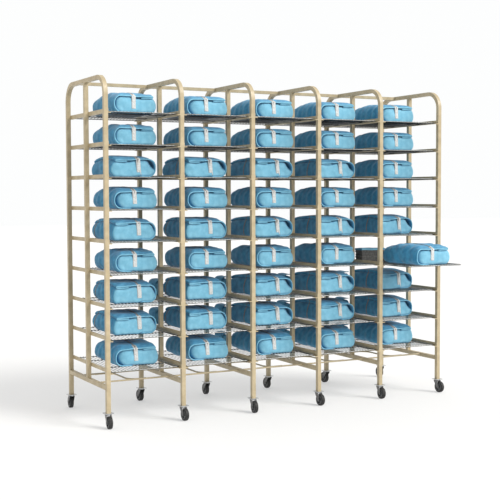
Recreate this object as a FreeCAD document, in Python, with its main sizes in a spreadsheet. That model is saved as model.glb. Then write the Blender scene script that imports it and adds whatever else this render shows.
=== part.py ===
import FreeCAD, Part
import os
import re
import Sketcher

# A linen trolley: six bent-tube hoops make five bays, and every bay has nine wire shelves on
# angle runners, each with one wrapped linen pack. A few small rolls of linen lie behind the
# packs, and the open shelf holds a small covered bundle too. Twelve swivel casters carry it all.
#
# Frame of the model: millimetres, +Z up, +X along the trolley, -Y is the loading side.
# The origin is on the floor, in the middle between the hoops and between the uprights.

doc = FreeCAD.newDocument("linen_trolley")

# ----------------------------------------------------------------- driving dimensions
SIZES = [
    ("bay_count", 5, "bays side by side"),
    ("shelf_levels", 9, "shelves above each other in a bay"),
    ("bay_pitch", 480, "from one hoop's centre to the next"),
    ("frame_depth", 670, "from the front uprights' centre to the rear ones'"),
    ("level_pitch", 190, "from one shelf up to the next"),
    ("lowest_level", 331, "height of the lowest runner's middle"),
    ("overall_height", 2062, "floor to the top of the hoops"),
    ("tube_size", 25, "side of the square frame tube"),
    ("tube_wall", 1.5, "wall of the square frame tube"),
    ("bend_radius", 105, "hoop bend, on the tube's centre line"),
    ("rail_height", 236, "height of the lower rail's centre"),
    ("runner_height", 24, "angle runner, upright flange"),
    ("runner_width", 18, "angle runner, flange that the shelf rests on"),
    ("runner_sheet", 2, "angle runner, sheet thickness"),
    ("runner_lip", 3, "drop of the turned-down lip at a runner's front end"),
    ("tie_size", 20, "side of the square top tie"),
    ("tie_offset", 167, "top tie, behind the middle of the frame"),
    ("rod_diameter", 10, "long rods and curved braces"),
    ("rod_offset", 150, "long rods, from the middle of the frame"),
    ("rod_height", 240, "height of the rods' centre line"),
    ("rod_hole_gap", 0.25, "radial gap of the rods in the lower rails"),
    ("brace_reach", 205, "curved brace's crossing, from the hoop to its left"),
    ("brace_bend", 60, "curved brace, bend radius"),
    ("brace_tail", 55, "curved brace, straight stretch beside a long rod"),
    ("weld_sink", 0.03, "how far a welded rod sinks into the one beside it"),
    ("screw_diameter", 5, "lock screw under each rod"),
    ("screw_head", 10, "diameter of the lock screw's head"),
    ("screw_head_height", 3.5, "height of the lock screw's head"),
    ("screw_gap", 0.1, "gap round the lock screw and above its tip"),
    ("shelf_depth", 640, "wire shelf, front to back"),
    ("shelf_side_gap", 3, "gap between a shelf's rim and the runner's flange"),
    ("shelf_rest_gap", 0.3, "gap under a shelf's rim"),
    ("rim_diameter", 6, "rim rod of the wire shelf"),
    ("rim_corner", 14, "bend radius of the rim rod"),
    ("wire_diameter", 3.2, "thin wires of the shelf"),
    ("wire_count", 20, "thin wires in a shelf"),
    ("wire_margin", 12, "from the rim's centre to the outermost thin wire"),
    ("wire_sink", 0.6, "how far the thin wires are welded into what they cross"),
    ("strip_width", 8, "cross strips under the thin wires"),
    ("strip_height", 4, "height of the cross strips"),
    ("strip_spacing", 300, "between the two cross strips"),
    ("shelf_travel", 350, "how far a shelf slides out to its stop"),
    ("pulled_out", 295, "how far the one open shelf stands out"),
    ("pack_width", 278, "linen pack, along the trolley"),
    ("pack_length", 380, "linen pack, front to back"),
    ("pack_end_height", 98, "linen pack, height at its ends"),
    ("pack_crown", 26, "rise of a pack's top above its ends"),
    ("pack_edge", 24, "rounding of a pack's edges"),
    ("pack_setback", 130, "from a shelf's front edge to its pack"),
    ("open_pack_setback", 20, "the same on the open shelf"),
    ("pack_rest_gap", 0.3, "gap between a pack and the wires"),
    ("bundle_width", 200, "small bundle behind the open shelf's pack"),
    ("bundle_length", 90, "small bundle, front to back"),
    ("bundle_height", 72, "small bundle without its cover sheet"),
    ("bundle_edge", 12, "rounding of the small bundle's edges"),
    ("cover_height", 12, "folded cover sheet on the small bundle"),
    ("cover_edge", 5, "rounding of the folded cover sheet"),
    ("bundle_gap", 145, "between the open shelf's pack and the bundle behind it"),
    ("bundle_offset", 109, "small bundle's middle, left of the bay's middle"),
    ("roll_width", 75, "small roll of linen behind a pack"),
    ("roll_length", 110, "small roll, front to back"),
    ("roll_height", 96, "small roll, height at its ends"),
    ("roll_edge", 22, "rounding of the small roll's edges"),
    ("roll_gap", 14, "between a pack's back and the roll behind it"),
    ("roll_offset", 156, "small roll, from the bay's middle to the roll's"),
    ("plate_size", 55, "caster's top plate"),
    ("plate_sheet", 3, "thickness of the top plate"),
    ("plate_corner", 6, "corner radius of the top plate"),
    ("race_diameter", 34, "ball race under the plate"),
    ("race_height", 5, "height of the ball race"),
    ("swivel_gap", 0.3, "gap between the race and the fork"),
    ("kingpin_diameter", 10, "pin that the fork turns on"),
    ("kingpin_head", 18, "diameter of the kingpin's riveted head"),
    ("kingpin_head_height", 2, "height of the kingpin's riveted head"),
    ("running_gap", 0.05, "radial clearance of pins and axles"),
    ("fork_sheet", 2.5, "sheet of the caster fork"),
    ("fork_half_length", 17, "fork's crown, from the kingpin to its end"),
    ("fork_tip", 10, "fork's leg, from the axle to its edge"),
    ("caster_trail", 22, "axle behind the kingpin"),
    ("wheel_diameter", 75, "caster wheel"),
    ("wheel_clearance", 7, "from the top of the wheel to the ball race's lower face"),
    ("tyre_width", 24, "width of the tyre"),
    ("tyre_thickness", 10, "thickness of the tyre's tread"),
    ("tyre_round", 5, "rounding of the tread's shoulders"),
    ("hub_width", 26, "length of the wheel's hub"),
    ("hub_boss", 20, "diameter of the hub's boss"),
    ("hub_web", 12, "thickness of the hub's web"),
    ("hub_side_gap", 1, "between the hub and the fork's legs"),
    ("axle_diameter", 8, "axle bolt"),
    ("axle_head", 13, "diameter of the axle's domed head and nut"),
    ("axle_head_height", 3, "height of the axle's domed head and nut"),
]
# How far each caster is turned at rest, in degrees, from the first hoop to the last.
FRONT_TURNS = (-3, 2, -5, 3, -2, 5)
REAR_TURNS = (176, 184, 178, 181, 186, 177)

sheet = doc.addObject("Spreadsheet::Sheet", "Sizes")
for row, (alias, value, note) in enumerate(SIZES, start=1):
    sheet.set(f"A{row}", note)
    sheet.set(f"B{row}", str(value))
    sheet.setAlias(f"B{row}", alias)
doc.recompute()

# Sizes that follow from the driving dimensions, as expressions.
TOP_CENTRE = "(overall_height - tube_size / 2)"
HALF_DEPTH = "(frame_depth / 2)"
RAIL_TOP = "(rail_height + tube_size / 2)"
RAIL_BOTTOM = "(rail_height - tube_size / 2)"
BAY_CLEAR = "(bay_pitch - tube_size)"
SHELF_WIDTH = "(bay_pitch - tube_size - 2 * runner_sheet - 2 * shelf_side_gap)"
RIM_CENTRE = "(runner_sheet - runner_height / 2 + shelf_rest_gap + rim_diameter / 2)"
WIRE_CENTRE = f"({RIM_CENTRE} + rim_diameter / 2 + wire_diameter / 2 - wire_sink)"
PACK_BOTTOM = f"({WIRE_CENTRE} + wire_diameter / 2 + pack_rest_gap)"
RACE_BOTTOM = "(wheel_diameter + wheel_clearance)"
LEG_BOTTOM = f"({RACE_BOTTOM} + race_height + plate_sheet)"
CROWN_TOP = f"({RACE_BOTTOM} - swivel_gap)"
CROWN_BOTTOM = f"({CROWN_TOP} - fork_sheet)"
AXLE_HEIGHT = "(wheel_diameter / 2)"
FORK_INSIDE = "(hub_width + 2 * hub_side_gap)"
FORK_OUTSIDE = f"({FORK_INSIDE} + 2 * fork_sheet)"


def bound(expression):
    """The expression with every size looked up in the sheet."""
    return re.sub(r"\b[a-z]+(?:_[a-z]+)+\b", lambda word: "Sizes." + word.group(), expression)


def size(expression):
    """The value of an expression, in millimetres."""
    return float(sheet.evalExpression(bound(expression)))


# ------------------------------------------------------------------- sketch helpers
def new_body(name):
    return doc.addObject("PartDesign::Body", name)


def origin_feature(body, role):
    return next(item for item in body.Origin.OriginFeatures if item.Role == role)


def new_sketch(body, plane, lift="0"):
    """An empty sketch on one of the body's planes, moved along the plane's normal."""
    sketch = body.newObject("Sketcher::SketchObject", "Sketch")
    sketch.AttachmentSupport = [(origin_feature(body, plane), "")]
    sketch.MapMode = "FlatFace"
    sketch.setExpression("AttachmentOffset.Base.z", bound(lift))
    return sketch


def pin(sketch, edge, end, across, up):
    """Holds one point of an edge at a place measured from the sketch's origin."""
    for kind, axis, expression in (("DistanceX", -2, across), ("DistanceY", -1, up)):
        value = size(expression)
        if abs(value) < 1e-9:
            sketch.addConstraint(Sketcher.Constraint("PointOnObject", edge, end, axis))
            continue
        first, last = (-1, 1), (edge, end)
        if value < 0:
            first, last = last, first
            value, expression = -value, f"-({expression})"
        index = sketch.addConstraint(Sketcher.Constraint(kind, *first, *last, value))
        sketch.setExpression(f"Constraints[{index}]", bound(expression))


def radius(sketch, edge, expression):
    index = sketch.addConstraint(Sketcher.Constraint("Radius", edge, size(expression)))
    sketch.setExpression(f"Constraints[{index}]", bound(expression))


def point(place):
    return FreeCAD.Vector(size(place[0]), size(place[1]), 0)


def outline(sketch, corners):
    """A closed outline of straight edges through the corners."""
    first = sketch.GeometryCount
    count = len(corners)
    for place, following in zip(corners, corners[1:] + corners[:1]):
        sketch.addGeometry(Part.LineSegment(point(place), point(following)))
    for step, place in enumerate(corners):
        pin(sketch, first + step, 1, *place)
        following = first + (step + 1) % count
        sketch.addConstraint(Sketcher.Constraint("Coincident", first + step, 2, following, 1))


def box_outline(sketch, left, right, low, high):
    outline(sketch, [(left, low), (right, low), (right, high), (left, high)])


def tube_outline(sketch, across, up, side, wall):
    """A square tube's section: its outside and its inside."""
    for half in (f"{side} / 2", f"({side} / 2 - {wall})"):
        box_outline(sketch, f"{across} - {half}", f"{across} + {half}", f"{up} - {half}", f"{up} + {half}")


def circle(sketch, across, up, expression):
    edge = sketch.addGeometry(Part.Circle(point((across, up)), FreeCAD.Vector(0, 0, 1), size(expression)))
    pin(sketch, edge, 3, across, up)
    radius(sketch, edge, expression)


def rounded_path(sketch, corners, bend, closed=False):
    """A path of square turns, each turn a quarter circle of the given bend radius."""
    turns = range(len(corners)) if closed else range(1, len(corners) - 1)
    arcs = {}
    for turn in turns:
        places = [corners[turn - 1], corners[turn], corners[(turn + 1) % len(corners)]]
        before, here, after = (point(place) for place in places)
        come = (here - before).normalize()
        go = (after - here).normalize()
        step = size(bend)
        middle = here - come * step + go * step
        anticlockwise = come.x * go.y - come.y * go.x > 0
        start, finish = here - come * step, here + go * step
        halfway = middle + (here - middle).normalize() * step
        edge = sketch.addGeometry(Part.Arc(start, halfway, finish))
        shift = go - come
        across = f"{places[1][0]} + ({round(shift.x)}) * {bend}"
        up = f"{places[1][1]} + ({round(shift.y)}) * {bend}"
        pin(sketch, edge, 3, across, up)
        radius(sketch, edge, bend)
        near, far = (1, 2) if anticlockwise else (2, 1)
        for end, way in ((near, come), (far, go)):
            level = "Vertical" if abs(way.x) > 0.5 else "Horizontal"
            sketch.addConstraint(Sketcher.Constraint(level, edge, 3, edge, end))
        arcs[turn] = (edge, near, far, start, finish)
    legs = range(len(corners)) if closed else range(len(corners) - 1)
    for leg in legs:
        following = (leg + 1) % len(corners)
        start = arcs[leg][4] if leg in arcs else point(corners[leg])
        finish = arcs[following][3] if following in arcs else point(corners[following])
        edge = sketch.addGeometry(Part.LineSegment(start, finish))
        for end, corner, side in ((1, leg, 2), (2, following, 1)):
            if corner in arcs:
                mate = arcs[corner]
                sketch.addConstraint(Sketcher.Constraint("Coincident", edge, end, mate[0], mate[side]))
            else:
                pin(sketch, edge, end, *corners[corner])


# ------------------------------------------------------------------ feature helpers
def pad(body, sketch, length, symmetric=True, backwards=False):
    feature = body.newObject("PartDesign::Pad", "Pad")
    feature.Profile = sketch
    feature.SideType = "Symmetric" if symmetric else "One side"
    feature.Reversed = backwards
    feature.setExpression("Length", bound(length))
    return feature


def pocket(body, sketch, length, symmetric=True, backwards=False):
    feature = body.newObject("PartDesign::Pocket", "Pocket")
    feature.Profile = sketch
    feature.SideType = "Symmetric" if symmetric else "One side"
    feature.Reversed = backwards
    feature.setExpression("Length", bound(length))
    return feature


def pipe(body, section, path):
    feature = body.newObject("PartDesign::AdditivePipe", "Pipe")
    feature.Profile = section
    feature.Spine = (path, [""])
    return feature


def turned(body, corners):
    """A solid of revolution about the body's Z axis, from half its section."""
    sketch = new_sketch(body, "XZ_Plane")
    outline(sketch, corners)
    feature = body.newObject("PartDesign::Revolution", "Revolution")
    feature.Profile = sketch
    feature.ReferenceAxis = (sketch, ["V_Axis"])
    feature.Angle = 360
    return feature


def rows(body, features, axis, count, spacing, second=None):
    """Repeats features in a row, or in a grid when a second axis, count and spacing are given."""
    pattern = body.newObject("PartDesign::LinearPattern", "Row")
    pattern.Originals = features
    pattern.Direction = (origin_feature(body, axis), [""])
    pattern.setExpression("Occurrences", bound(count))
    pattern.setExpression("Length", bound(f"({count} - 1) * {spacing}"))
    if second:
        pattern.Direction2 = (origin_feature(body, second[0]), [""])
        pattern.setExpression("Occurrences2", bound(second[1]))
        pattern.setExpression("Length2", bound(f"({second[1]} - 1) * {second[2]}"))
    body.Tip = pattern
    return pattern


def place_first(body, first_across):
    """Puts the first of a row at its place along the trolley."""
    body.setExpression("Placement.Base.x", bound(first_across))
    return body


FIRST_HOOP = "-bay_count * bay_pitch / 2"
FIRST_BAY = "-(bay_count - 1) * bay_pitch / 2"
HOOPS = ("X_Axis", "(bay_count + 1)", "bay_pitch")
BAYS = ("X_Axis", "bay_count", "bay_pitch")


# ------------------------------------------------------------------------ the frame
def hoop_frames():
    """Six upside-down U frames, each one square tube with two bends."""
    body = new_body("hoop_frames")
    section = new_sketch(body, "XY_Plane", LEG_BOTTOM)
    tube_outline(section, "0", f"-{HALF_DEPTH}", "tube_size", "tube_wall")
    path = new_sketch(body, "YZ_Plane")
    corners = [
        (f"-{HALF_DEPTH}", LEG_BOTTOM),
        (f"-{HALF_DEPTH}", TOP_CENTRE),
        (HALF_DEPTH, TOP_CENTRE),
        (HALF_DEPTH, LEG_BOTTOM),
    ]
    rounded_path(path, corners, "bend_radius")
    rows(body, [pipe(body, section, path)], *HOOPS)
    return place_first(body, FIRST_HOOP)


def mid_posts():
    """A post in the middle of each hoop, from its lower rail up to its top."""
    body = new_body("mid_posts")
    section = new_sketch(body, "XY_Plane", RAIL_TOP)
    tube_outline(section, "0", "0", "tube_size", "tube_wall")
    post = pad(body, section, f"overall_height - tube_size - {RAIL_TOP}", symmetric=False)
    rows(body, [post], *HOOPS)
    return place_first(body, FIRST_HOOP)


def lower_rails():
    """A rail between each hoop's legs, drilled for the two long rods and their lock screws."""
    body = new_body("lower_rails")
    section = new_sketch(body, "XZ_Plane")
    tube_outline(section, "0", "rail_height", "tube_size", "tube_wall")
    rail = pad(body, section, "frame_depth - tube_size")
    bores = new_sketch(body, "YZ_Plane")
    for side in ("-rod_offset", "rod_offset"):
        circle(bores, side, "rod_height", "(rod_diameter / 2 + rod_hole_gap)")
    bored = pocket(body, bores, "2 * tube_size")
    holes = new_sketch(body, "XY_Plane", RAIL_BOTTOM)
    for side in ("-rod_offset", "rod_offset"):
        circle(holes, "0", side, "(screw_diameter / 2 + screw_gap)")
    drilled = pocket(body, holes, "2 * tube_wall")
    rows(body, [rail, bored, drilled], *HOOPS)
    return place_first(body, FIRST_HOOP)


def shelf_runners():
    """Angle runners on both sides of every bay, with a lip turned down at the front."""
    body = new_body("shelf_runners")
    outer = f"(-{BAY_CLEAR} / 2)"
    low = "(lowest_level - runner_height / 2)"
    section = new_sketch(body, "XZ_Plane")
    outline(section, [
        (outer, low),
        (f"{outer} + runner_width", low),
        (f"{outer} + runner_width", f"{low} + runner_sheet"),
        (f"{outer} + runner_sheet", f"{low} + runner_sheet"),
        (f"{outer} + runner_sheet", f"{low} + runner_height"),
        (outer, f"{low} + runner_height"),
    ])
    angle = pad(body, section, "frame_depth + tube_size")
    front = new_sketch(body, "XZ_Plane", "(frame_depth + tube_size) / 2")
    box_outline(front, outer, f"{outer} + runner_width", f"{low} - runner_lip", f"{low} + runner_sheet")
    lip = pad(body, front, "runner_sheet", symmetric=False, backwards=True)
    grid = body.newObject("PartDesign::MultiTransform", "Grid")
    grid.Originals = [angle, lip]
    mirror = body.newObject("PartDesign::Mirrored", "Mirror")
    mirror.MirrorPlane = (origin_feature(body, "YZ_Plane"), [""])
    repeat = body.newObject("PartDesign::LinearPattern", "Repeat")
    repeat.Direction = (origin_feature(body, "X_Axis"), [""])
    repeat.setExpression("Occurrences", bound("bay_count"))
    repeat.setExpression("Length", bound("(bay_count - 1) * bay_pitch"))
    repeat.Direction2 = (origin_feature(body, "Z_Axis"), [""])
    repeat.setExpression("Occurrences2", bound("shelf_levels"))
    repeat.setExpression("Length2", bound("(shelf_levels - 1) * level_pitch"))
    grid.Transformations = [mirror, repeat]
    body.Tip = grid
    return place_first(body, FIRST_BAY)


def top_ties():
    """Short square tubes that tie each hoop's top to the next."""
    body = new_body("top_ties")
    section = new_sketch(body, "YZ_Plane")
    tube_outline(section, "tie_offset", TOP_CENTRE, "tie_size", "tube_wall")
    rows(body, [pad(body, section, BAY_CLEAR)], *BAYS)
    return place_first(body, FIRST_BAY)


def long_rods():
    """Two rods through all the lower rails."""
    body = new_body("long_rods")
    section = new_sketch(body, "YZ_Plane")
    for side in ("-rod_offset", "rod_offset"):
        circle(section, side, "rod_height", "rod_diameter / 2")
    pad(body, section, "bay_count * bay_pitch + tube_size")
    return body


def curved_braces():
    """An S-shaped rod in each bay, welded beside the rear rod and beside the front rod."""
    body = new_body("curved_braces")
    lane = "(rod_offset - rod_diameter + weld_sink)"
    start = "(brace_reach - brace_bend - brace_tail)"
    section = new_sketch(body, "YZ_Plane", start)
    circle(section, lane, "rod_height", "rod_diameter / 2")
    path = new_sketch(body, "XY_Plane", "rod_height")
    corners = [
        (start, lane),
        ("brace_reach", lane),
        ("brace_reach", f"-{lane}"),
        ("(brace_reach + brace_bend + brace_tail)", f"-{lane}"),
    ]
    rounded_path(path, corners, "brace_bend")
    rows(body, [pipe(body, section, path)], *BAYS)
    return place_first(body, FIRST_HOOP)


def rod_lock_screws():
    """Round-headed screws from below, one under each rod in each lower rail."""
    body = new_body("rod_lock_screws")
    tip = "(rod_height - rod_diameter / 2 - screw_gap)"
    screw = turned(body, [
        ("0", tip),
        ("0", f"{RAIL_BOTTOM} - screw_head_height"),
        ("screw_head / 3", f"{RAIL_BOTTOM} - screw_head_height"),
        ("screw_head / 2", f"{RAIL_BOTTOM} - screw_head_height / 3"),
        ("screw_head / 2", RAIL_BOTTOM),
        ("screw_diameter / 2", RAIL_BOTTOM),
        ("screw_diameter / 2", tip),
    ])
    rows(body, [screw], *HOOPS, second=("Y_Axis", "2", "2 * rod_offset"))
    body.setExpression("Placement.Base.y", bound("-rod_offset"))
    return place_first(body, FIRST_HOOP)


# ----------------------------------------------------------------- the caster parts
def caster_plates():
    """A square plate welded under each leg, with the ball race pressed from it."""
    body = new_body("caster_plates")
    plate = new_sketch(body, "XY_Plane", LEG_BOTTOM)
    half = "(plate_size / 2)"
    corners = [(f"-{half}", f"-{half}"), (half, f"-{half}"), (half, half), (f"-{half}", half)]
    rounded_path(plate, corners, "plate_corner", closed=True)
    flat = pad(body, plate, "plate_sheet", symmetric=False, backwards=True)
    race = new_sketch(body, "XY_Plane", RACE_BOTTOM)
    circle(race, "0", "0", "race_diameter / 2")
    cup = pad(body, race, "race_height", symmetric=False)
    bore = new_sketch(body, "XY_Plane", RACE_BOTTOM)
    circle(bore, "0", "0", "(kingpin_diameter / 2 + running_gap)")
    hole = pocket(body, bore, "2 * race_height")
    rows(body, [flat, cup, hole], *HOOPS, second=("Y_Axis", "2", "frame_depth"))
    body.setExpression("Placement.Base.y", bound(f"-{HALF_DEPTH}"))
    return place_first(body, FIRST_HOOP)


def kingpins():
    """The pins that the forks turn on, riveted over below the forks' crowns."""
    body = new_body("kingpins")
    head_top = f"({CROWN_BOTTOM} - running_gap)"
    kingpin = turned(body, [
        ("0", f"{LEG_BOTTOM} - plate_sheet"),
        ("0", f"{head_top} - kingpin_head_height"),
        ("kingpin_head / 3", f"{head_top} - kingpin_head_height"),
        ("kingpin_head / 2", f"{head_top} - kingpin_head_height / 3"),
        ("kingpin_head / 2", head_top),
        ("kingpin_diameter / 2", head_top),
        ("kingpin_diameter / 2", f"{LEG_BOTTOM} - plate_sheet"),
    ])
    rows(body, [kingpin], *HOOPS, second=("Y_Axis", "2", "frame_depth"))
    body.setExpression("Placement.Base.y", bound(f"-{HALF_DEPTH}"))
    return place_first(body, FIRST_HOOP)


def caster_fork():
    """A pressed fork: crown and two legs from one sheet, trailing towards -Y."""
    body = new_body("caster_fork")
    side = new_sketch(body, "YZ_Plane")
    outline(side, [
        ("fork_half_length", CROWN_TOP),
        ("-fork_half_length", CROWN_TOP),
        ("-(caster_trail + fork_tip)", f"{AXLE_HEIGHT} + fork_tip / 2"),
        ("-(caster_trail + fork_tip)", f"{AXLE_HEIGHT} - fork_tip / 2"),
        ("-(caster_trail + fork_tip / 2)", f"{AXLE_HEIGHT} - fork_tip"),
        ("-(caster_trail - fork_tip / 2)", f"{AXLE_HEIGHT} - fork_tip"),
        ("-(caster_trail - fork_tip)", f"{AXLE_HEIGHT} - fork_tip / 2"),
        ("fork_half_length", f"{CROWN_BOTTOM} - fork_sheet"),
    ])
    pad(body, side, FORK_OUTSIDE)
    inside = new_sketch(body, "XZ_Plane")
    box_outline(inside, f"-{FORK_INSIDE} / 2", f"{FORK_INSIDE} / 2", "0", CROWN_BOTTOM)
    pocket(body, inside, "4 * (caster_trail + fork_tip)")
    axle_holes = new_sketch(body, "YZ_Plane")
    circle(axle_holes, "-caster_trail", AXLE_HEIGHT, "(axle_diameter / 2 + running_gap)")
    pocket(body, axle_holes, f"2 * {FORK_OUTSIDE}")
    pin_hole = new_sketch(body, "XY_Plane", CROWN_BOTTOM)
    circle(pin_hole, "0", "0", "(kingpin_diameter / 2 + running_gap)")
    pocket(body, pin_hole, "4 * fork_sheet")
    return body


def caster_axle():
    """The axle bolt, domed at both ends, made upright and then laid across the fork."""
    body = new_body("caster_axle")
    grip = f"({FORK_OUTSIDE} / 2 + running_gap)"
    turned(body, [
        ("0", f"-({grip} + axle_head_height)"),
        ("axle_head / 3", f"-({grip} + axle_head_height)"),
        ("axle_head / 2", f"-({grip} + axle_head_height / 3)"),
        ("axle_head / 2", f"-{grip}"),
        ("axle_diameter / 2", f"-{grip}"),
        ("axle_diameter / 2", grip),
        ("axle_head / 2", grip),
        ("axle_head / 2", f"{grip} + axle_head_height / 3"),
        ("axle_head / 3", f"{grip} + axle_head_height"),
        ("0", f"{grip} + axle_head_height"),
    ])
    body.Placement.Rotation = FreeCAD.Rotation(FreeCAD.Vector(0, 1, 0), 90)
    body.setExpression("Placement.Base.y", bound("-caster_trail"))
    body.setExpression("Placement.Base.z", bound(AXLE_HEIGHT))
    return body


def wheel_part(name, corners):
    body = new_body(name)
    turned(body, corners)
    body.Placement.Rotation = FreeCAD.Rotation(FreeCAD.Vector(0, 1, 0), 90)
    body.setExpression("Placement.Base.y", bound("-caster_trail"))
    body.setExpression("Placement.Base.z", bound(AXLE_HEIGHT))
    return body


def caster_tyre():
    """The solid tyre, moulded round the hub."""
    inner = "(wheel_diameter / 2 - tyre_thickness)"
    outer = "(wheel_diameter / 2)"
    half = "(tyre_width / 2)"
    return wheel_part("caster_tyre", [
        (inner, f"-{half}"),
        (f"{outer} - tyre_round", f"-{half}"),
        (f"{outer} - tyre_round / 4", f"-({half} - tyre_round / 4)"),
        (outer, f"-({half} - tyre_round)"),
        (outer, f"({half} - tyre_round)"),
        (f"{outer} - tyre_round / 4", f"({half} - tyre_round / 4)"),
        (f"{outer} - tyre_round", half),
        (inner, half),
    ])


def caster_hub():
    """The hub: boss, web and rim in one casting, bored for the axle."""
    bore = "(axle_diameter / 2 + running_gap)"
    rim = "(wheel_diameter / 2 - tyre_thickness - running_gap)"
    bed = f"({rim} - tyre_round)"
    half = "(hub_width / 2)"
    flat = "(tyre_width / 2)"
    web = "(hub_web / 2)"
    return wheel_part("caster_hub", [
        (bore, f"-{half}"),
        ("hub_boss / 2", f"-{half}"),
        ("hub_boss / 2", f"-{web}"),
        (bed, f"-{web}"),
        (bed, f"-{flat}"),
        (rim, f"-{flat}"),
        (rim, flat),
        (bed, flat),
        (bed, web),
        ("hub_boss / 2", web),
        ("hub_boss / 2", half),
        (bore, half),
    ])


# ------------------------------------------------------------- the shelves and packs
def wire_shelf():
    """A rim rod bent into a frame, two cross strips, and thin wires welded on top.

    Its own frame: X across the bay, the front edge at Y = 0, and the level's height at Z = 0.
    """
    body = new_body("wire_shelf")
    side = f"({SHELF_WIDTH} / 2 - rim_diameter / 2)"
    front = "(rim_diameter / 2)"
    back = "(shelf_depth - rim_diameter / 2)"
    section = new_sketch(body, "YZ_Plane")
    circle(section, front, RIM_CENTRE, "rim_diameter / 2")
    path = new_sketch(body, "XY_Plane", RIM_CENTRE)
    half_frame = [("0", front), (side, front), (side, back), ("0", back)]
    rounded_path(path, half_frame, "rim_corner")
    rim = pipe(body, section, path)
    mirror = body.newObject("PartDesign::Mirrored", "Mirror")
    mirror.Originals = [rim]
    mirror.MirrorPlane = (origin_feature(body, "YZ_Plane"), [""])
    body.Tip = mirror
    strip_top = f"({WIRE_CENTRE} - wire_diameter / 2 + wire_sink)"
    strips = new_sketch(body, "YZ_Plane")
    for sign in "-+":
        middle = f"(shelf_depth {sign} strip_spacing) / 2"
        near, far = f"({middle} - strip_width / 2)", f"({middle} + strip_width / 2)"
        box_outline(strips, near, far, f"({strip_top} - strip_height)", strip_top)
    pad(body, strips, f"2 * {side}")
    first_wire = f"({side} - wire_margin)"
    wire = new_sketch(body, "XZ_Plane", f"-{back}")
    circle(wire, f"-{first_wire}", WIRE_CENTRE, "wire_diameter / 2")
    strand = pad(body, wire, "shelf_depth - rim_diameter", symmetric=False)
    rows(body, [strand], "X_Axis", "wire_count", f"(2 * {first_wire} / (wire_count - 1))")
    return body


def soft_block(name, width, length, end_height, crown, edge):
    """A soft block with a crowned top and rounded edges; its front end is at Y = 0."""
    body = new_body(name)
    sketch = new_sketch(body, "YZ_Plane")
    corners = [("0", end_height), ("0", "0"), (length, "0"), (length, end_height)]
    for place, following in zip(corners, corners[1:]):
        sketch.addGeometry(Part.LineSegment(point(place), point(following)))
    top = (f"{length} / 2", f"{end_height} + {crown}")
    arc = sketch.addGeometry(Part.Arc(point(corners[3]), point(top), point(corners[0])))
    for edge_index in range(3):
        pin(sketch, edge_index, 1, *corners[edge_index])
    pin(sketch, 2, 2, *corners[3])
    for edge_index in range(2):
        link = Sketcher.Constraint("Coincident", edge_index, 2, edge_index + 1, 1)
        sketch.addConstraint(link)
    sketch.addConstraint(Sketcher.Constraint("Coincident", arc, 1, 2, 2))
    sketch.addConstraint(Sketcher.Constraint("Coincident", arc, 2, 0, 1))
    radius(sketch, arc, f"({length} * {length} / 4 + {crown} * {crown}) / (2 * {crown})")
    block = pad(body, sketch, width)
    doc.recompute()
    rounding = body.newObject("PartDesign::Fillet", "Rounding")
    rounding.Base = (block, ["Edge1"])
    rounding.UseAllEdges = True
    rounding.setExpression("Radius", bound(edge))
    return body


# ------------------------------------------------------------------------ the build
FRAME_PARTS = (
    hoop_frames, mid_posts, lower_rails, shelf_runners, top_ties, long_rods, curved_braces,
    rod_lock_screws, caster_plates, kingpins,
)
nodes = {make.__name__: make() for make in FRAME_PARTS}

fork, axle, tyre, hub = caster_fork(), caster_axle(), caster_tyre(), caster_hub()
shelf = wire_shelf()
pack = soft_block("linen_pack", "pack_width", "pack_length", "pack_end_height", "pack_crown", "pack_edge")
bundle = soft_block(
    "bundle", "bundle_width", "bundle_length", "bundle_height", "bundle_edge / 4", "bundle_edge")
cover = soft_block("cover", "bundle_width", "bundle_length", "cover_height", "cover_edge / 2", "cover_edge")
roll = soft_block("roll", "roll_width", "roll_length", "roll_height", "roll_edge / 4", "roll_edge")
doc.recompute()


def moved(shape, across=0, along=0, up=0, turn=0):
    """A copy of a shape, turned about the upright axis and moved to its place."""
    spot = FreeCAD.Vector(across, along, up)
    placement = FreeCAD.Placement(spot, FreeCAD.Rotation(FreeCAD.Vector(0, 0, 1), turn))
    copy = shape.copy()
    copy.Placement = placement.multiply(copy.Placement)
    return copy


def add_node(name, shapes):
    """A sub-part made of one or more copies of the pieces above."""
    node = doc.addObject("Part::Feature", name)
    node.Shape = shapes[0] if len(shapes) == 1 else Part.makeCompound(shapes)
    nodes[name] = node


def bay_centre(bay):
    return size(FIRST_BAY) + (bay - 1) * size("bay_pitch")


def level_height(level):
    """Levels are counted from the top."""
    return size("lowest_level") + (size("shelf_levels") - level) * size("level_pitch")


bay_total = round(size("bay_count"))
level_total = round(size("shelf_levels"))
hoop_total = bay_total + 1
shelf_front = -size("shelf_depth") / 2
OPEN_BAY, OPEN_LEVEL = bay_total, 6

# The casters: one fork and one wheel at each leg.
for row_name, row_side, turns in (("front", -1, FRONT_TURNS), ("rear", 1, REAR_TURNS)):
    for number in range(1, hoop_total + 1):
        spot = {
            "across": size(FIRST_HOOP) + (number - 1) * size("bay_pitch"),
            "along": row_side * size(HALF_DEPTH),
            "turn": turns[(number - 1) % len(turns)],
        }
        add_node(f"fork_{row_name}_{number}", [moved(piece.Shape, **spot) for piece in (fork, axle)])
        add_node(f"wheel_{row_name}_{number}", [moved(piece.Shape, **spot) for piece in (tyre, hub)])

# The rolls of linen that lie behind some of the packs: bay to its levels.
ROLLS = {2: (7, 8), 3: (7, 8, 9), 4: (7, 8, 9), 5: (7, 8, 9)}


def shelf_at(bay, level, pull=0):
    return moved(shelf.Shape, bay_centre(bay), shelf_front - pull, level_height(level))


def pack_at(bay, level, setback, pull=0):
    up = level_height(level) + size(PACK_BOTTOM)
    return moved(pack.Shape, bay_centre(bay), shelf_front - pull + setback, up)


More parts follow.
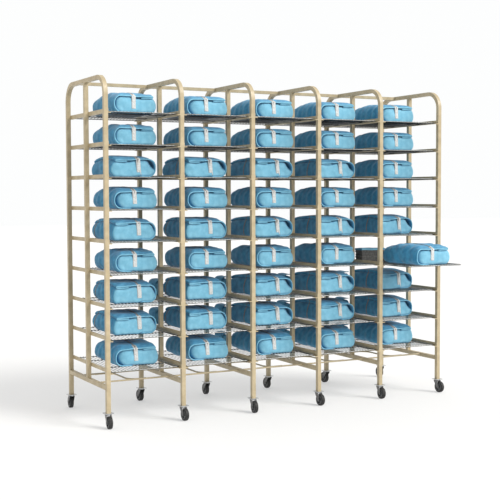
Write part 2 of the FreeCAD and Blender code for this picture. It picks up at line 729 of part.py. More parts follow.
def roll_at(bay, level):
    across = bay_centre(bay) - size("roll_offset")
    along = shelf_front + size("pack_setback + pack_length + roll_gap")
    return moved(roll.Shape, across, along, level_height(level) + size(PACK_BOTTOM))


# The shelves and packs of the last bay, each in a node of its own.
for level in range(1, level_total + 1):
    opened = level == OPEN_LEVEL
    pull = size("pulled_out") if opened else 0
    setback = size("open_pack_setback" if opened else "pack_setback")
    linen = [pack_at(OPEN_BAY, level, setback, pull)]
    if level in ROLLS.get(OPEN_BAY, ()):
        linen.append(roll_at(OPEN_BAY, level))
    add_node(f"wire_shelf_{OPEN_BAY}_{level}", [shelf_at(OPEN_BAY, level, pull)])
    add_node(f"linen_pack_{OPEN_BAY}_{level}", linen)
    if opened:
        across = bay_centre(OPEN_BAY) - size("bundle_offset")
        along = shelf_front - pull + setback + size("pack_length + bundle_gap")
        up = level_height(level) + size(PACK_BOTTOM)
        add_node("small_bundle", [moved(bundle.Shape, across, along, up)])
        above = up + size("bundle_height + bundle_edge / 4 + pack_rest_gap")
        add_node("bundle_cover", [moved(cover.Shape, across, along, above)])

# The other bays: the shelves of each bay in one node, and all the packs and all the rolls in one each.
others = [(bay, level) for bay in range(1, OPEN_BAY) for level in range(1, level_total + 1)]
for bay in range(1, OPEN_BAY):
    add_node(f"wire_shelves_bay_{bay}", [shelf_at(*place) for place in others if place[0] == bay])
label = f"bays_1_{OPEN_BAY - 1}"
add_node(f"linen_packs_{label}", [pack_at(*place, size("pack_setback")) for place in others])
rolled = [place for place in others if place[1] in ROLLS.get(place[0], ())]
add_node(f"linen_rolls_{label}", [roll_at(*place) for place in rolled])
doc.recompute()

# --------------------------------------------------------------- checks, then export
for item in doc.Objects:
    if {"Invalid", "Error"} & set(item.State):
        raise RuntimeError(f"{item.Name} did not build: {item.State}")
for name, node in nodes.items():
    if node.Shape.isNull() or not node.Shape.isValid():
        raise RuntimeError(f"{name} has no valid shape")
if len(nodes) > 60:
    raise RuntimeError("more than 60 nodes")

os.makedirs("parts", exist_ok=True)
for name, node in nodes.items():
    node.Label = name
    node.Shape.exportStep(f"parts/{name}.step")
    print(f"{name}: {len(node.Shape.Solids)} solids, {node.Shape.Volume / 1000:.1f} cm3")
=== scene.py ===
# %% [markdown]
# # Dressing a linen trolley
#
# The trolley is already built as a set of named, jointed metal parts. This lesson opens that frame,
# gives every tube, wire and caster its finish, and then makes the soft goods that the frame only
# marks with plain blocks: forty-five wrapped linen packs, a few rolls and one small covered bundle.
# Each step says what the piece is on the real trolley before it makes it.

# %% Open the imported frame
import math

import bmesh
import bpy
import numpy as np
from mathutils import Matrix, Vector
from mathutils.bvhtree import BVHTree
from mathutils.kdtree import KDTree


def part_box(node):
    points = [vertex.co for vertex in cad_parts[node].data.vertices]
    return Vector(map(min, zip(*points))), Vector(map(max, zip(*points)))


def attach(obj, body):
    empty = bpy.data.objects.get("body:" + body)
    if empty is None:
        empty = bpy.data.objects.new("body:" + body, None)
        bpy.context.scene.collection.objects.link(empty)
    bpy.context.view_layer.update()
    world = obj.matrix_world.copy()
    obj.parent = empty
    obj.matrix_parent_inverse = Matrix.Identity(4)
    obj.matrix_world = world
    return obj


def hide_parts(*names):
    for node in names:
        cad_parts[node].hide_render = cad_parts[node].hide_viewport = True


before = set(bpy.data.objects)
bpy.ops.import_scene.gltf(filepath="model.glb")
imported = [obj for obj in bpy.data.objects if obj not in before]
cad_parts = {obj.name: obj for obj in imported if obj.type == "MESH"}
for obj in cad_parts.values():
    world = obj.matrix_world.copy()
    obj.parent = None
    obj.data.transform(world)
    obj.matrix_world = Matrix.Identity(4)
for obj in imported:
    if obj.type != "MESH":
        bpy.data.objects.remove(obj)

scene = bpy.context.scene
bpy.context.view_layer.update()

# %% [markdown]
# ## Where we stand
#
# A trolley two and a half metres long is looked at from a few metres away with a longish lens, so
# that its uprights stay parallel. The camera stands to the left of the loading side, a little above
# the middle shelves. Lens and place come first because they decide which details deserve the work.

# %% Camera
EYE = (-3.344, -6.146, 1.361)
TURN_RIGHT, LOOK_DOWN, TILT = math.radians(27.96), math.radians(2.98), -0.003
SENSOR_MM, LENS_MM = 36, 76.35

lens = bpy.data.cameras.new("eye")
lens.sensor_width = SENSOR_MM
lens.lens = LENS_MM
camera = bpy.data.objects.new("eye", lens)
scene.collection.objects.link(camera)
aim = Matrix.Rotation(-TURN_RIGHT, 3, "Z") @ Matrix.Rotation(math.pi / 2 - LOOK_DOWN, 3, "X")
camera.rotation_euler = (aim @ Matrix.Rotation(TILT, 3, "Z")).to_euler()
camera.location = EYE
scene.camera = camera
print("camera", round((Vector(EYE) - Vector((0, 0, 1))).length, 2), "m from the trolley's middle")

# %% [markdown]
# ## The studio
#
# The trolley stands on a white light table: a floor that glows a little, so shadows stay pale. One
# broad lamp, high in front and to the right, models the round edges of the packs, and an even white
# surround fills the shaded sides. The plain view transform keeps paint and cloth in true colours.

# %% Floor, surround and lamp
FLOOR_REACH = 40
LAMP_FROM = (0.5, -0.63, 0.63)
LAMP_WIDTH = math.radians(28)

scene.view_settings.view_transform = "Standard"

floor_mesh = bpy.data.meshes.new("floor")
floor_corners = [(FLOOR_REACH * x, FLOOR_REACH * y, 0) for x, y in ((-1, -1), (1, -1), (1, 1), (-1, 1))]
floor_mesh.from_pydata(floor_corners, [], [(0, 1, 2, 3)])
floor = bpy.data.objects.new("floor", floor_mesh)
scene.collection.objects.link(floor)
light_table = bpy.data.materials.new("light_table")
light_table.use_nodes = True
table_shader = light_table.node_tree.nodes["Principled BSDF"]
table_shader.inputs["Base Color"].default_value = (0.5, 0.5, 0.5, 1)
table_shader.inputs["Roughness"].default_value = 0.9
table_shader.inputs["Specular IOR Level"].default_value = 0.1
table_shader.inputs["Emission Color"].default_value = (1, 1, 1, 1)
table_shader.inputs["Emission Strength"].default_value = 0.38
floor_mesh.materials.append(light_table)

world = bpy.data.worlds.new("surround")
scene.world = world
world.use_nodes = True
sky = world.node_tree
fill = sky.nodes["Background"]
fill.inputs["Color"].default_value = (1, 0.99, 0.97, 1)
fill.inputs["Strength"].default_value = 0.85
paper = sky.nodes.new("ShaderNodeBackground")
paper.inputs["Color"].default_value = (0.985, 0.992, 0.992, 1)
seen = sky.nodes.new("ShaderNodeLightPath")
choose = sky.nodes.new("ShaderNodeMixShader")
sky.links.new(seen.outputs["Is Camera Ray"], choose.inputs["Fac"])
sky.links.new(fill.outputs[0], choose.inputs[1])
sky.links.new(paper.outputs[0], choose.inputs[2])
sky.links.new(choose.outputs[0], sky.nodes["World Output"].inputs["Surface"])

lamp = bpy.data.lights.new("broad_lamp", "SUN")
lamp.energy = 2.8
lamp.angle = LAMP_WIDTH
lamp.color = (1, 0.985, 0.95)
lamp_stand = bpy.data.objects.new("broad_lamp", lamp)
lamp_stand.rotation_euler = Vector(LAMP_FROM).to_track_quat("Z", "Y").to_euler()
scene.collection.objects.link(lamp_stand)
print("one lamp of", lamp.energy, "and a fill of", fill.inputs["Strength"].default_value)

# %% [markdown]
# ## A way to write finishes
#
# Every finish here is a Principled shader with a few habits in common: a colour that wanders between
# two close tones, a roughness that wanders too, and a fine bump. Small helpers wire those up, and
# whatever is the same all over a surface is set straight on the shader's own socket.

# %% Helpers for finishes
def new_finish(name, **even):
    """A material with these even values on its shader: Metallic=1, Roughness=0.4 and so on."""
    material = bpy.data.materials.new(name)
    material.use_nodes = True
    shader = material.node_tree.nodes["Principled BSDF"]
    for socket, value in even.items():
        shader.inputs[socket.replace("_", " ")].default_value = value
    return material


def add_node(material, kind, **settings):
    node = material.node_tree.nodes.new(kind)
    for name, value in settings.items():
        setattr(node, name, value)
    return node


def join(material, source, target):
    material.node_tree.links.new(source, target)


def grain(material, size, detail=3.0, stretch=(1, 1, 1)):
    """Noise with patches of about this size in metres. Returns its output."""
    place = add_node(material, "ShaderNodeTexCoord")
    mapping = add_node(material, "ShaderNodeMapping")
    mapping.inputs["Scale"].default_value = [1 / (size * s) for s in stretch]
    noise = add_node(material, "ShaderNodeTexNoise")
    noise.inputs["Scale"].default_value = 1.0
    noise.inputs["Detail"].default_value = detail
    join(material, place.outputs["Object"], mapping.inputs["Vector"])
    join(material, mapping.outputs[0], noise.inputs["Vector"])
    return noise.outputs["Fac"]


def between(material, source, low, high, start=0.35, end=0.65):
    """A number or a colour that goes from low to high as the source goes from start to end."""
    if isinstance(low, tuple):
        ramp = add_node(material, "ShaderNodeValToRGB")
        ramp.color_ramp.elements[0].position, ramp.color_ramp.elements[1].position = start, end
        ramp.color_ramp.elements[0].color = (*low, 1)
        ramp.color_ramp.elements[1].color = (*high, 1)
        join(material, source, ramp.inputs["Fac"])
        return ramp.outputs["Color"]
    spread = add_node(material, "ShaderNodeMapRange")
    for name, value in zip(("From Min", "From Max", "To Min", "To Max"), (start, end, low, high)):
        spread.inputs[name].default_value = value
    join(material, source, spread.inputs["Value"])
    return spread.outputs["Result"]


def drive(material, source, socket):
    join(material, source, material.node_tree.nodes["Principled BSDF"].inputs[socket])


def wander(material, socket, low, high, size, detail, stretch=(1, 1, 1)):
    """Lets a socket wander between two values, in patches of about this size in metres."""
    drive(material, between(material, grain(material, size, detail, stretch), low, high), socket)


def raise_bumps(material, layers):
    """Bumps from several sources, one over the other: (source, height in metres, strength)."""
    normal = None
    for source, height, strength in layers:
        bump = add_node(material, "ShaderNodeBump")
        bump.inputs["Distance"].default_value = height
        bump.inputs["Strength"].default_value = strength
        join(material, source, bump.inputs["Height"])
        if normal is not None:
            join(material, normal, bump.inputs["Normal"])
        normal = bump.outputs["Normal"]
    drive(material, normal, "Normal")


print("helpers ready")

# %% [markdown]
# ## Cream powder coat
#
# Hoops, posts, rails, runners and rods are bent from steel and sprayed with a cream powder that is
# baked on. It is satin, with the faint orange-peel of all powder coats, and a shade darker where
# hands and trolleys have rubbed it for years. Two noises do it: a broad one for the tone, a fine one
# for the peel.

# %% Cream powder coat
cream = new_finish("cream_powder_coat", Roughness=0.42)
wander(cream, "Base Color", (0.4, 0.325, 0.2), (0.49, 0.405, 0.26), 0.05, 6)
wander(cream, "Roughness", 0.34, 0.5, 0.012, 4)
raise_bumps(cream, [(grain(cream, 0.0022, 2), 0.0002, 0.5)])
print(cream.name)

# %% [markdown]
# ## Plated wire
#
# The shelves are drawn wire, welded and bright plated. Their light and shade are painted into the
# colour: faces that look up are painted pale as painted light from above, and faces that look down are
# painted near black as painted shade. The way a face points chooses between the two.

# %% Plated wire
bright_wire = new_finish("plated_wire", Metallic=0.85)
facing = add_node(bright_wire, "ShaderNodeNewGeometry")
upward = add_node(bright_wire, "ShaderNodeSeparateXYZ")
join(bright_wire, facing.outputs["Normal"], upward.inputs[0])
# painted light and shade: up-facing wire is painted pale, down-facing wire near black
PAINTED_LIGHT_STARTS, PAINTED_LIGHT_FULL = 0.2, 0.85
painted_light_and_shade = between(
    bright_wire, upward.outputs["Z"], (0.018, 0.018, 0.017), (0.72, 0.72, 0.71), PAINTED_LIGHT_STARTS, PAINTED_LIGHT_FULL)
speckle = add_node(bright_wire, "ShaderNodeMix", data_type="RGBA", blend_type="MULTIPLY")
speckle.inputs["Factor"].default_value = 1.0
join(bright_wire, painted_light_and_shade, speckle.inputs["A"])
dust = between(bright_wire, grain(bright_wire, 0.008, 4), (0.82, 0.82, 0.8), (1.0, 1.0, 1.0))
join(bright_wire, dust, speckle.inputs["B"])
drive(bright_wire, speckle.outputs["Result"], "Base Color")
wander(bright_wire, "Roughness", 0.26, 0.42, 0.02, 3)
print(bright_wire.name)

# %% [markdown]
# ## Zinc, rubber and nylon
#
# Caster plates and forks are pressed from zinc-plated steel, which has a faint drawn grain and small
# grey blooms. The forks, which are knocked most, have gone duller and darker. The tyre is solid
# black rubber. The hub inside it is dark nylon with a little more shine, so the wheel reads as two
# pieces.

# %% Zinc, rubber and nylon
zinc = new_finish("zinc_plate", Metallic=0.9)
wander(zinc, "Base Color", (0.45, 0.46, 0.47), (0.66, 0.67, 0.68), 0.009, 5)
wander(zinc, "Roughness", 0.26, 0.46, 0.004, 3, (1, 1, 4))
raise_bumps(zinc, [(grain(zinc, 0.0012, 2, (1, 1, 6)), 0.0001, 0.35)])

dull_zinc = new_finish("dull_zinc", Metallic=0.85)
wander(dull_zinc, "Base Color", (0.1, 0.1, 0.1), (0.24, 0.24, 0.24), 0.009, 5)
wander(dull_zinc, "Roughness", 0.32, 0.52, 0.004, 3, (1, 1, 4))

rubber = new_finish("black_rubber", Specular_IOR_Level=0.35)
wander(rubber, "Base Color", (0.012, 0.012, 0.013), (0.035, 0.035, 0.034), 0.01, 5)
wander(rubber, "Roughness", 0.5, 0.75, 0.006, 3)
raise_bumps(rubber, [(grain(rubber, 0.0015, 2), 0.0002, 0.5)])

nylon = new_finish("dark_nylon")
wander(nylon, "Base Color", (0.05, 0.053, 0.056), (0.085, 0.088, 0.092), 0.012, 3)
wander(nylon, "Roughness", 0.3, 0.45, 0.005, 3)
print(zinc.name, dull_zinc.name, rubber.name, nylon.name)

# %% [markdown]
# ## Dressing the metal
#
# The frame's own parts keep their shapes, so they only need their finish. Tubes and wires keep the
# normals that came with them, which already know the round faces from the sharp edges. A wheel is
# one part with two pieces, told apart by how far each face is from the wheel's middle.

# %% Put the finishes on the metal
TUBE_PARTS = (
    "hoop_frames", "mid_posts", "lower_rails", "shelf_runners", "top_ties", "long_rods", "curved_braces")
HUB_REACH = 0.0285


def dress(node, *materials):
    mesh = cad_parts[node].data
    mesh.materials.clear()
    for material in materials:
        mesh.materials.append(material)
    return mesh


def dress_wheel(node):
    """Rubber outside, nylon within the hub's reach from the wheel's middle."""
    mesh = dress(node, rubber, nylon)
    low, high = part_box(node)
    middle = (low + high) / 2
    for face in mesh.polygons:
        face.material_index = int(math.hypot(*(face.center - middle)) < HUB_REACH)


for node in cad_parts:
    if node in TUBE_PARTS:
        dress(node, cream)
    elif node.startswith("wire_shel"):
        dress(node, bright_wire)
    elif node.startswith("wheel_"):
        dress_wheel(node)
    elif node.startswith("fork_"):
        dress(node, dull_zinc)
    elif node in ("caster_plates", "kingpins", "rod_lock_screws"):
        dress(node, zinc)
print(len(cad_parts), "nodes dressed or kept for later")

# %% [markdown]
# ## Blue wrap, tape and grey cloth
#
# A linen pack is wrapped in two layers of blue non-woven sheet: soft, matte and faintly pebbled. Its
# light and shade are painted into its colour: faces that look forward get a pale painted-light blue,
# all other faces a deeper painted-shade blue, so the way a face points chooses between two blues. A
# wide tape with beige flecks holds the flap, and a narrow tape, its tan darkened as painted shade, goes
# round the pack. The small bundle is grey cotton with an open weave. Sheen gives the wrap and the
# cotton the soft edge light of loose fibres.

# %% Blue wrap, tape and grey cloth
# painted light and shade on the wrap: forward-facing faces get a painted-light blue, all others a
# painted-shade blue
PAINTED_SHADE_BLUES = (0.02, 0.19, 0.37), (0.05, 0.3, 0.52)
PAINTED_LIGHT_BLUES = (0.16, 0.42, 0.58), (0.22, 0.5, 0.66)
ALL_FRONT, ALL_SIDE = -0.85, -0.3

blue_wrap = new_finish(
    "blue_wrap", Roughness=0.85, Sheen_Weight=0.25, Sheen_Roughness=0.5, Specular_IOR_Level=0.25)
wrap_geometry = add_node(blue_wrap, "ShaderNodeNewGeometry")
forward = add_node(blue_wrap, "ShaderNodeSeparateXYZ")
join(blue_wrap, wrap_geometry.outputs["Normal"], forward.inputs[0])
wrap_light_and_shade_mix = add_node(blue_wrap, "ShaderNodeMix", data_type="RGBA")
painted_light_share = between(blue_wrap, forward.outputs["Y"], 1.0, 0.0, ALL_FRONT, ALL_SIDE)
join(blue_wrap, painted_light_share, wrap_light_and_shade_mix.inputs["Factor"])
for socket, blues in (("A", PAINTED_SHADE_BLUES), ("B", PAINTED_LIGHT_BLUES)):
    join(blue_wrap, between(blue_wrap, grain(blue_wrap, 0.03, 8), *blues), wrap_light_and_shade_mix.inputs[socket])
drive(blue_wrap, wrap_light_and_shade_mix.outputs["Result"], "Base Color")
raise_bumps(blue_wrap, [(grain(blue_wrap, 0.02, 4), 0.0015, 0.5), (grain(blue_wrap, 0.0025, 3), 0.0004, 0.6)])

crepe_tape = new_finish("crepe_tape", Roughness=0.7, Specular_IOR_Level=0.3)
flecks = between(crepe_tape, grain(crepe_tape, 0.0035, 4), (0.44, 0.39, 0.33), (0.62, 0.66, 0.68), 0.38, 0.5)
drive(crepe_tape, flecks, "Base Color")
raise_bumps(crepe_tape, [(grain(crepe_tape, 0.0018, 2, (1, 4, 1)), 0.0004, 0.6)])

# the narrow tape's tan is darkened as painted shade, for the top and the side it lies on
tan_tape_painted_shade = new_finish("tan_tape_painted_shade", Roughness=0.65)
wander(tan_tape_painted_shade, "Base Color", (0.17, 0.15, 0.13), (0.3, 0.27, 0.23), 0.004, 3)
raise_bumps(tan_tape_painted_shade, [(grain(tan_tape_painted_shade, 0.002, 2), 0.0003, 0.5)])

grey_cotton = new_finish("grey_cotton", Roughness=0.95, Sheen_Weight=0.2, Specular_IOR_Level=0.15)
wander(grey_cotton, "Base Color", (0.06, 0.058, 0.056), (0.13, 0.128, 0.122), 0.012, 6)
raise_bumps(grey_cotton, [(grain(grey_cotton, 0.0016, 2), 0.0006, 0.8)])
print(blue_wrap.name, crepe_tape.name, tan_tape_painted_shade.name, grey_cotton.name)

# %% [markdown]
# ## How a pack is shaped
#
# A pack is a folded stack of linen with a padded sheet wrapped round it like the letter C. Seen from
# its end, the sheet starts in a folded hem on top, runs over the pack, turns down one side and tucks
# in underneath, and the stack inside stands a little back from it. So a pack is made of two shapes: a
# soft block for the stack and a thick strip for the sheet. Both start from rounded outlines.

# %% Rounded outlines
def rounded_line(corners, closed=False, step=0.006):
    """Points along straight runs and arcs. Each corner is (across, up, radius)."""
    places = [np.array(corner[:2], float) for corner in corners]
    line = []
    for index, (here, corner) in enumerate(zip(places, corners)):
        if not closed and index in (0, len(corners) - 1):
            line.append(here)
            continue
        before, after = places[index - 1], places[(index + 1) % len(places)]
        back = (before - here) / np.linalg.norm(before - here)
        ahead = (after - here) / np.linalg.norm(after - here)
        half = 0.5 * math.acos(float(np.clip(back @ ahead, -1, 1)))
        middle = here + (back + ahead) / np.linalg.norm(back + ahead) * corner[2] / math.sin(half)
        start = here + back * corner[2] / math.tan(half) - middle
        end = here + ahead * corner[2] / math.tan(half) - middle
        first = math.atan2(start[1], start[0])
        swing = (math.atan2(end[1], end[0]) - first + math.pi) % (2 * math.pi) - math.pi
        for share in np.linspace(0, 1, 9):
            angle = first + swing * share
            line.append(middle + corner[2] * np.array([math.cos(angle), math.sin(angle)]))
    if closed:
        line.append(line[0])
    line = np.array(line)
    run = np.concatenate([[0], np.cumsum(np.linalg.norm(np.diff(line, axis=0), axis=1))])
    count = max(8, round(run[-1] / step))
    spots = np.linspace(0, run[-1], count + 1)
    even = np.stack([np.interp(spots, run, line[:, axis]) for axis in (0, 1)], 1)
    return even[:-1] if closed else even


test_outline = rounded_line([(0, 0, 0.02), (0.2, 0, 0.02), (0.2, 0.1, 0.02), (0, 0.1, 0.02)], True)
print(len(test_outline), "points round a test outline")

# %% [markdown]
# ## The stack inside
#
# The block is the outline carried from front to back and pulled in at both ends, so that the edges
# are round. On the sheet's side it is tucked in further at the front: that hollow is the dark
# crease beside the lip.

# %% A soft block from an outline
TUCK_FADE = 0.22


def edge_pull(distance, radius):
    """How far a rounded edge of this radius pulls in, at this distance from its end."""
    left = np.clip(1 - distance / radius, 0, 1)
    return radius * (1 - np.sqrt(1 - left ** 2))


def ring_faces(rings, around, closed=True):
    faces = []
    for ring in range(rings - 1):
        for spot in range(around if closed else around - 1):
            following = (spot + 1) % around
            a, b = ring * around + spot, ring * around + following
            faces.append((a, b, b + around, a + around))
    return faces


def soft_block(outline, start, length, rounding, tuck=0.0, step=0.01, tuck_above=0.0):
    """Corner points and faces of a closed block: the outline from start to length, X across, Y back.

    Above the share tuck_above of its height, or all over, its front left side is tucked in."""
    height_share = (outline[:, 1] - outline[:, 1].min()) / np.ptp(outline[:, 1])
    tucked = np.clip((height_share - tuck_above) / TUCK_FADE, 0, 1) if tuck_above else 1.0
    half_width = np.abs(outline[:, 0]).max()
    middle, half_height = outline[:, 1].mean(), np.ptp(outline[:, 1]) / 2
    turn = rounding * (1 - np.cos(np.linspace(0, math.pi / 2, 6)))
    inner = np.arange(start + rounding + step / 2, length - rounding, step)
    stations = np.concatenate([start + turn, inner, length - turn[::-1]])
    points = []
    for along in stations:
        pull = edge_pull(min(along - start, length - along), rounding)
        across = outline[:, 0] * (1 - pull / half_width)
        if tuck:
            side = np.clip(-outline[:, 0] / half_width, 0, 1)
            across = across + edge_pull(along - start, tuck) * side ** 2 * tucked
        up = middle + (outline[:, 1] - middle) * (1 - pull / half_height)
        points.append(np.stack([across, np.full(len(outline), along), up], 1))
    count = len(outline)
    faces = ring_faces(len(stations), count)
    ends = np.array([points[0].mean(0), points[-1].mean(0)])
    total = len(stations) * count
    for spot in range(count):
        following = (spot + 1) % count
        faces.append((total, following, spot))
        faces.append((total + 1, total - count + spot, total - count + following))
    return np.concatenate([*points, ends]), faces


test_points, test_faces = soft_block(test_outline, 0, 0.3, 0.02)
print(len(test_points), "points and", len(test_faces), "faces in a test block")

# %% [markdown]
# ## The padded sheet
#
# The sheet is a strip of even thickness that follows an open line. Its two long edges, at the front
# and back of the pack, are rounded by thinning the strip there, and the hem's end is rounded by
# letting the thickness fade over the last points.

# %% A thick strip along a line
THINNEST = 0.06


def thick_strip(line, thickness, start, length, step=0.01, fade=0.02):
    """Corner points and faces of a strip of this thickness along a line in X and Z."""
    heading = np.gradient(line, axis=0)
    heading /= np.linalg.norm(heading, axis=1)[:, None]
    outward = np.stack([heading[:, 1], -heading[:, 0]], 1)
    run = np.concatenate([[0], np.cumsum(np.linalg.norm(np.diff(line, axis=0), axis=1))])
    first = np.sqrt(1 - np.clip(1 - run / (thickness / 2), 0, 1) ** 2)
    last = np.clip((run[-1] - run) / fade, 0, 1)
    plump = np.maximum(np.minimum(first, last), THINNEST)
    half = thickness / 2
    turn = half * (1 - np.cos(np.linspace(0.2, math.pi / 2, 5)))
    inner = np.arange(start + half + step / 2, length - half, step)
    stations = np.concatenate([start + turn, inner, length - turn[::-1]])
    points = []
    for along in stations:
        left = np.clip(1 - min(along - start, length - along) / half, 0, 1)
        reach = (half * math.sqrt(1 - left ** 2) * plump)[:, None] * outward
        loop = np.concatenate([line + reach, (line - reach)[::-1]])
        points.append(np.stack([loop[:, 0], np.full(len(loop), along), loop[:, 1]], 1))
    around = 2 * len(line)
    faces = ring_faces(len(stations), around)
    for base in (0, (len(stations) - 1) * around):
        for spot in range(len(line) - 1):
            faces.append((base + spot, base + spot + 1, base + around - 2 - spot, base + around - 1 - spot))
    return np.concatenate(points), faces


def object_from(name, points, faces, materials=(), marks=None):
    """A mesh object with its faces all turned outward and shaded smooth."""
    mesh = bpy.data.meshes.new(name)
    mesh.from_pydata([tuple(point) for point in points], [], faces)
    for material in materials:
        mesh.materials.append(material)
    if marks is not None:
        mesh.polygons.foreach_set("material_index", np.asarray(marks, np.int32))
    work = bmesh.new()
    work.from_mesh(mesh)
    bmesh.ops.recalc_face_normals(work, faces=work.faces)
    work.to_mesh(mesh)
    work.free()
    mesh.polygons.foreach_set("use_smooth", np.ones(len(mesh.polygons), bool))
    made = bpy.data.objects.new(name, mesh)
    scene.collection.objects.link(made)
    return made


print("strip and object helpers ready")

# %% [markdown]
# ## Letting the cloth settle
#
# Wrapped linen is soft because the cloth is pushed out from inside. Each block is remeshed into even
# squares and given to the Cloth solver with a little pressure and no gravity, for twenty steps. The
# movement is capped, so the pack keeps its size, and then added to the points for good. All the
# blocks run together.

# %% Remesh and settle
VOXEL, STEPS, SWELL = 0.0065, 20, 0.006
CLOTH_MASS, PRESSURE, STRETCH_STIFFNESS, BENDING_STIFFNESS = 0.25, 4, 12, 0.4


def points_of(mesh):
    flat = np.empty(len(mesh.vertices) * 3)
    mesh.vertices.foreach_get("co", flat)
    return flat.reshape(-1, 3)


def mesh_from(name, points, faces, materials, marks=None):
    """Only the mesh, for objects that are laid in place later."""
    made = object_from(name, points, faces, materials, marks)
    mesh = made.data
    bpy.data.objects.remove(made)
    return mesh


def even_squares(name, points, faces):
    """The same block in squares of one size. Returns its object."""
    rough = object_from(name, points, faces)
    remesh = rough.modifiers.new("squares", "REMESH")
    remesh.mode, remesh.voxel_size = "VOXEL", VOXEL
    graph = bpy.context.evaluated_depsgraph_get()
    rough.data = bpy.data.meshes.new_from_object(rough.evaluated_get(graph))
    rough.modifiers.clear()
    return rough


def settle(blocks, swell=SWELL):
    """Runs the cloth for all the blocks at once. Returns how far each of their points moved."""
    rest = [points_of(block.data) for block in blocks]
    for block in blocks:
        cloth = block.modifiers.new("cloth", "CLOTH")
        cloth.settings.quality = 5
        cloth.settings.mass = CLOTH_MASS
        cloth.settings.use_pressure = True
        cloth.settings.uniform_pressure_force = PRESSURE
        cloth.settings.tension_stiffness = STRETCH_STIFFNESS
        cloth.settings.compression_stiffness = STRETCH_STIFFNESS
        cloth.settings.bending_stiffness = BENDING_STIFFNESS
        cloth.settings.effector_weights.gravity = 0
        cloth.point_cache.frame_start, cloth.point_cache.frame_end = 1, STEPS
    for step in range(1, STEPS + 1):
        scene.frame_set(step)
    graph = bpy.context.evaluated_depsgraph_get()
    moves = []
    for block, before in zip(blocks, rest):
        move = points_of(block.evaluated_get(graph).to_mesh()) - before
        length = np.linalg.norm(move, axis=1)[:, None]
        moves.append(move * np.minimum(1, swell / np.maximum(length, 1e-9)))
        block.modifiers.clear()
    scene.frame_set(1)
    return rest, moves


print("cloth helpers ready")

# %% [markdown]
# ## The kinds of pack
#
# All packs are the same size, 278 by 380 by about 124 mm at the crown, and differ in how they were
# folded. In some the sheet turns down on the left, in others on the right; in some it hugs the stack
# and in others it stands off and leaves a pocket. Four kinds of stack are enough, each with its own
# tuck beside the lip, and one recipe with a few numbers makes them all.

# %% Sizes of a pack
pack_low, pack_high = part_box("linen_pack_5_1")
PACK_WIDTH, PACK_LENGTH, PACK_PEAK = pack_high - pack_low
PACK_ENDS = 0.106
SHEET = 0.0075
HALF = PACK_WIDTH / 2
WIDER = 0.018
END_ROUNDING = 0.016
TUCK_ABOVE = 0.42
print("pack", [round(1000 * side) for side in (PACK_WIDTH, PACK_LENGTH, PACK_PEAK)], "mm")


def stack_outline(merged):
    """The stack seen from its front. Merged: the sheet goes into its side half way down."""
    left, reach = -HALF + SHEET + 0.004, -HALF - 0.004
    side = [(left, 0.001, 0.04)]
    if merged:
        side = [(reach, 0.001, 0.036), (reach, 0.42 * PACK_ENDS, 0.02), (left, 0.56 * PACK_ENDS, 0.02)]
    return rounded_line([
        (HALF + 0.004, 0.001, 0.032),
        (HALF + WIDER, 0.44 * PACK_ENDS, 0.06),
        (HALF - 0.002, PACK_ENDS - 2.2 * SHEET, 0.02),
        (0.03, PACK_ENDS - 2.1 * SHEET, 0.05),
        (0.0, PACK_ENDS - 1.4 * SHEET, 0.05),
        (left, PACK_ENDS - 1.4 * SHEET, 0.042),
        *side[::-1],
    ], closed=True)


HEM_END = HALF - 0.011
SHEET_LINE = rounded_line([
    (HEM_END - 0.082, PACK_ENDS - 1.75 * SHEET, 0),
    (HEM_END, PACK_ENDS - 1.6 * SHEET, 0.49 * SHEET),
    (HEM_END, PACK_ENDS - 0.5 * SHEET, 0.49 * SHEET),
    (-HALF + 0.5 * SHEET, PACK_ENDS - 0.5 * SHEET, 0.046),
    (-HALF + 0.5 * SHEET, 0.5 * SHEET, 0.042),
    (-HALF + 0.115, 0.35 * SHEET, 0),
], step=0.005)

# how far the stack is tucked in beside the lip, how far its face stands back, and whether it is merged
PACK_KINDS = {
    "snug": (0.014, 0.003, False),
    "lipped": (0.07, 0.004, False),
    "creased": (0.02, 0.003, True),
    "pocketed": (0.085, 0.004, True),
}
print("kinds:", *PACK_KINDS)

# %% Blocks for each kind, settled together
blocks = {}
for kind, (tuck, setback, merged) in PACK_KINDS.items():
    tuck_above = TUCK_ABOVE if merged else 0.0
    points, faces = soft_block(
        stack_outline(merged), setback, PACK_LENGTH, END_ROUNDING, tuck, tuck_above=tuck_above)
    blocks[kind] = even_squares("block_" + kind, points, faces)
rest_points, swellings = settle(list(blocks.values()))
for kind, swelling in zip(blocks, swellings):
    print(kind, len(swelling), "points, moved", round(1000 * float(np.abs(swelling).max()), 1), "mm at most")

# %% [markdown]
# ## Crown, dents and the sheet that follows
#
# The strip was not in the cloth run, so it is carried along: each of its points takes the average
# movement of the nearest points of the stack. Then both are lifted in the middle, because folded
# linen always stands highest there, and pressed by a few long, shallow waves, which stand for the
# hand that patted the pack flat.

# %% Carry, crown and dent
NEIGHBOURS = 6
SHORTEST_WAVE, LONGEST_WAVE = 0.05, 0.16


def carried(points, near, moves):
    """How far these points go if they follow the nearest moving points."""
    tree = KDTree(len(near))
    for index, place in enumerate(near):
        tree.insert(place, index)
    tree.balance()
    nearest = [[found[1] for found in tree.find_n(place, NEIGHBOURS)] for place in points]
    return np.array([moves[group].mean(0) for group in nearest])


def crowned(points):
    """Lifts the middle, so that the ends are low and the peak is half way along."""
    away = (points[:, 1] - PACK_LENGTH / 2) / (PACK_LENGTH / 2)
    lift = 1 + (PACK_PEAK / PACK_ENDS - 1) * np.clip(1 - away ** 2, 0, 1)
    return points * np.stack([np.ones(len(points)), np.ones(len(points)), lift], 1)


